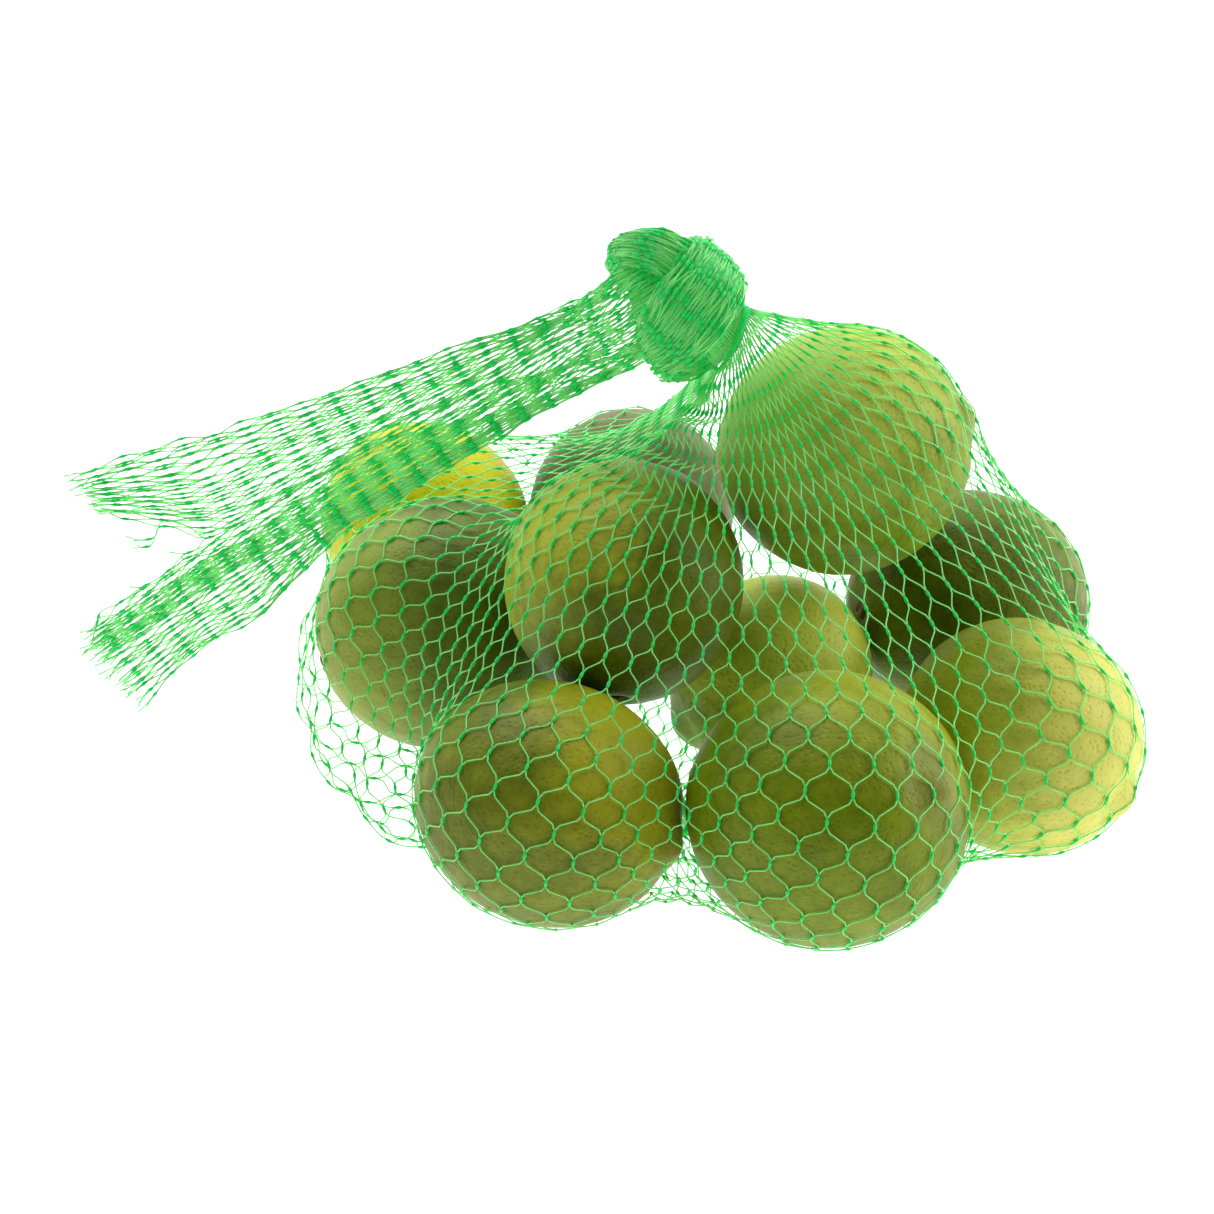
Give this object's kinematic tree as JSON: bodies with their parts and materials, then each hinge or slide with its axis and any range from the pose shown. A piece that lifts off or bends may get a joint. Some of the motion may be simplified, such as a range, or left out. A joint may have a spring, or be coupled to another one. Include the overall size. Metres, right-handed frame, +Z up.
{
  "type": "mesh produce bag",
  "caption": "Diamond-mesh net sleeve tied shut round a heap of limes, with an overhand knot and a loose flattened tail.",
  "frame": {"origin": "on the flat underside of the net, under the middle of the heap of limes", "axes": "+X towards the right of the heap, away from the loose tail; +Z up"},
  "size_m": [0.2465, 0.1959, 0.1335],
  "materials": {
    "net_strand": "translucent extruded net strand, slightly glossy",
    "clip_metal": "crimped, bright",
    "lime_peel_dark": "waxy, pored citrus peel, dark green",
    "lime_peel_mid": "waxy, pored citrus peel, olive green turning yellow",
    "lime_peel_bright": "waxy, pored citrus peel, yellow-green",
    "stem_wood": "dry, matt, woody"
  },
  "bodies": {
    "bag": {"bag_net": "net_strand", "neck_gather": "net_strand", "bottom_gather": "net_strand", "bottom_clip": "clip_metal"},
    "knot": {"knot_core": "net_strand", "knot_turn_right": "net_strand", "knot_turn_left": "net_strand"},
    "tail": {"tail_root": "net_strand", "tail_upper_leaf": "net_strand", "tail_lower_leaf": "net_strand"},
    "lime_front_right": {"lime_front_right": "lime_peel_mid", "stem_button_front_right": "stem_wood"},
    "lime_front_left": {"lime_front_left": "lime_peel_mid", "stem_button_front_left": "stem_wood"},
    "lime_right": {"lime_right": "lime_peel_bright", "stem_button_right": "stem_wood"},
    "lime_left": {"lime_left": "lime_peel_dark", "stem_button_left": "stem_wood"},
    "lime_top_mid": {"lime_top_mid": "lime_peel_mid", "stem_button_top_mid": "stem_wood"},
    "lime_top_right": {"lime_top_right": "lime_peel_bright", "stem_button_top_right": "stem_wood"},
    "lime_back_right": {"lime_back_right": "lime_peel_dark", "stem_button_back_right": "stem_wood"},
    "lime_middle": {"lime_middle": "lime_peel_mid", "stem_button_middle": "stem_wood"},
    "lime_back_left": {"lime_back_left": "lime_peel_bright", "stem_button_back_left": "stem_wood"},
    "lime_back_mid": {"lime_back_mid": "lime_peel_dark", "stem_button_back_mid": "stem_wood"}
  },
  "joints": [
    {"name": "neck_lean", "type": "hinge", "parent": "bag", "child": "knot", "pos_m": [0.01209, 0.00099, 0.11041], "axis": [0, 1, 0], "range_deg": [0, 40]},
    {"name": "tail_lift", "type": "hinge", "parent": "knot", "child": "tail", "pos_m": [-0.02871, 0.00099, 0.11241], "axis": [0, 1, 0], "range_deg": [0, 70]},
    {"name": "turn_front_right", "type": "hinge", "parent": "bag", "child": "lime_front_right", "pos_m": [0.02343, -0.0656, 0.03099], "axis": [0.7497, -0.4505, 0.4848], "continuous": true},
    {"name": "turn_front_left", "type": "hinge", "parent": "bag", "child": "lime_front_left", "pos_m": [-0.03578, -0.05865, 0.02766], "axis": [0.9182, -0.371, -0.1392], "continuous": true},
    {"name": "turn_right", "type": "hinge", "parent": "bag", "child": "lime_right", "pos_m": [0.06821, -0.03223, 0.0273], "axis": [0.7912, -0.554, -0.2588], "continuous": true},
    {"name": "turn_left", "type": "hinge", "parent": "bag", "child": "lime_left", "pos_m": [-0.0608, 0.01086, 0.03032], "axis": [0.9412, 0.2522, 0.225], "continuous": true},
    {"name": "turn_top_mid", "type": "hinge", "parent": "bag", "child": "lime_top_mid", "pos_m": [-0.01976, -0.01703, 0.05804], "axis": [0.0493, 0.7054, 0.7071], "continuous": true},
    {"name": "turn_top_right", "type": "hinge", "parent": "bag", "child": "lime_top_right", "pos_m": [0.02952, 0.00666, 0.07801], "axis": [0.955, 0.05, 0.2924], "continuous": true},
    {"name": "turn_back_right", "type": "hinge", "parent": "bag", "child": "lime_back_right", "pos_m": [0.06094, 0.02151, 0.02855], "axis": [0.9254, 0.3368, -0.1736], "continuous": true},
    {"name": "turn_middle", "type": "hinge", "parent": "bag", "child": "lime_middle", "pos_m": [0.01365, -0.00203, 0.02424], "axis": [-0.8517, -0.31, -0.4226], "continuous": true},
    {"name": "turn_back_left", "type": "hinge", "parent": "bag", "child": "lime_back_left", "pos_m": [-0.06931, 0.06458, 0.02626], "axis": [-0.8138, 0.4698, 0.342], "continuous": true},
    {"name": "turn_back_mid", "type": "hinge", "parent": "bag", "child": "lime_back_mid", "pos_m": [-0.0181, 0.0696, 0.02674], "axis": [0.171, 0.9699, 0.1736], "continuous": true}
  ]
}
